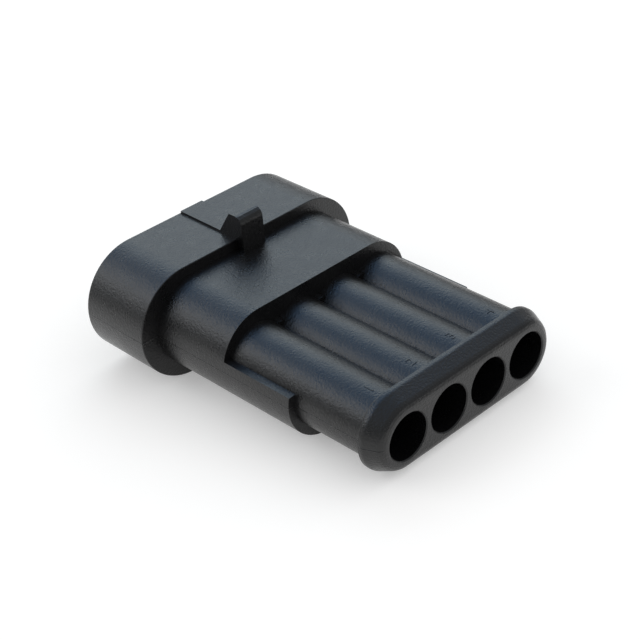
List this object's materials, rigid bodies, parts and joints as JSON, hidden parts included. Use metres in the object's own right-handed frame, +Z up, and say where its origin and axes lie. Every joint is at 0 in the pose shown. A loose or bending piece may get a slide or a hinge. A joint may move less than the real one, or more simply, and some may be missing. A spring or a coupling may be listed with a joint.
{
  "type": "sealed automotive connector tab housing",
  "caption": "Sealed single-row wire connector housing: stepped shroud with latch catch, round wire seal bores in an end flange, sliding contact lock.",
  "frame": {"origin": "under the middle of the part, on the level of the shroud's flat underside", "axes": "+X across the circuits, +Y out of the mating mouth, +Z up through the latch catch; wires enter from -Y"},
  "size_m": [0.032, 0.042, 0.0164],
  "materials": {
    "housing_plastic": "semi-gloss moulded black polyamide with a fine texture",
    "lock_plastic": "semi-gloss moulded natural polyamide"
  },
  "bodies": {
    "housing": {"housing": "housing_plastic"},
    "contact_lock": {"secondary_lock": "lock_plastic"}
  },
  "joints": [
    {"name": "lock_slide", "type": "slide", "parent": "housing", "child": "contact_lock", "axis": [0, -1, 0], "range_m": [0, 0.0018]}
  ]
}
